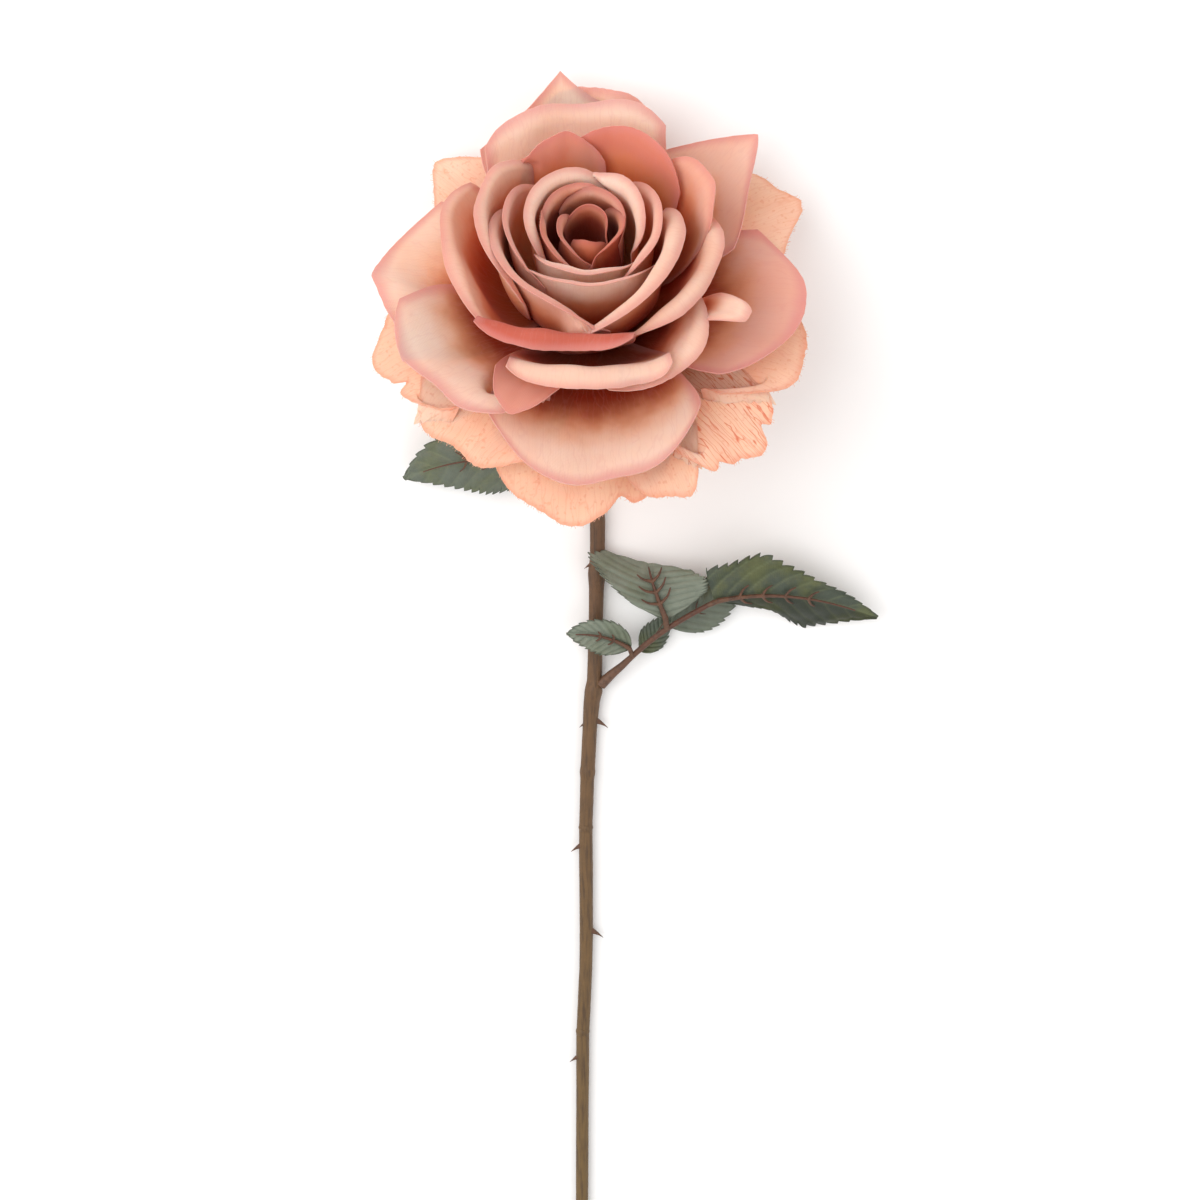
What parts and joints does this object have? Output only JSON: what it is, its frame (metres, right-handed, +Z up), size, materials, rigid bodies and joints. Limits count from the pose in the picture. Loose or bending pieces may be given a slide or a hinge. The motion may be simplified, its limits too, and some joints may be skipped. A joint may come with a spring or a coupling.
{
  "type": "artificial cut rose",
  "caption": "Single artificial cut rose lying on its side: layered cloth petals on a moulded calyx, a sleeved thorny stem, a leaflet spray and one leaf under the bloom.",
  "frame": {"origin": "middle of the bounding box's footprint, on the surface the rose lies on", "axes": "+Z up from the surface, +Y along the stem towards the bloom, +X to the side the leaf spray grows on"},
  "size_m": [0.1636, 0.4158, 0.0962],
  "materials": {
    "petal_inner": "matte dyed cloth, dusky rose",
    "petal_middle": "matte dyed cloth, rose shading to orange at the foot",
    "petal_outer": "matte dyed cloth, pale peach with a dusty rim",
    "petal_guard": "matte dyed cloth, peach with veins and frayed salmon rim",
    "leaf_cloth": "coated grey-green cloth, soft sheen",
    "stem_plastic": "red-brown to olive moulded plastic sleeve",
    "calyx_plastic": "olive-green moulded plastic"
  },
  "bodies": {
    "root": {"petal_heart_core": "petal_inner", "petal_heart_wrap": "petal_inner", "petal_heart_left_curl": "petal_inner", "petal_heart_right_curl": "petal_inner", "petal_heart_upper": "petal_inner", "petal_heart_top": "petal_inner", "petal_heart_left": "petal_inner", "petal_cup_top_left": "petal_inner", "petal_cup_top_right": "petal_inner", "petal_cup_low_inner": "petal_inner", "petal_cup_right": "petal_inner", "petal_cup_bottom": "petal_inner", "petal_cup_left": "petal_inner", "petal_mid_inner_right": "petal_middle", "petal_mid_low_left": "petal_middle", "petal_mid_up_left": "petal_middle", "petal_mid_top_left": "petal_middle", "petal_mid_top": "petal_middle", "petal_mid_up_right": "petal_middle", "petal_mid_right": "petal_middle", "petal_mid_left": "petal_middle", "petal_low_mid": "petal_middle", "petal_low_bottom": "petal_middle", "petal_low_right": "petal_middle", "petal_low_tip": "petal_middle", "petal_low_left": "petal_middle", "petal_outer_top": "petal_outer", "petal_outer_top_tip": "petal_outer", "petal_outer_top_back": "petal_outer", "petal_outer_up_right": "petal_outer", "petal_outer_bottom": "petal_outer", "petal_outer_right": "petal_outer", "petal_outer_left_low": "petal_outer", "petal_outer_left_up": "petal_outer", "petal_guard_low_middle": "petal_guard", "petal_guard_low_right": "petal_guard", "petal_guard_low_left": "petal_guard", "petal_guard_left": "petal_guard", "petal_guard_right": "petal_guard", "petal_guard_up_right": "petal_guard", "petal_guard_up_left": "petal_guard", "petal_guard_bottom": "petal_guard", "petal_guard_top_left": "petal_guard", "petal_guard_top_right": "petal_guard", "calyx": "calyx_plastic", "stem": "stem_plastic", "spray_stalk": "stem_plastic", "lone_stalk": "stem_plastic", "leaflet_end": "leaf_cloth", "leaflet_upper": "leaf_cloth", "leaflet_left": "leaf_cloth", "leaflet_behind": "leaf_cloth", "leaflet_low": "leaf_cloth", "leaf_under_bloom": "leaf_cloth"}
  },
  "joints": []
}
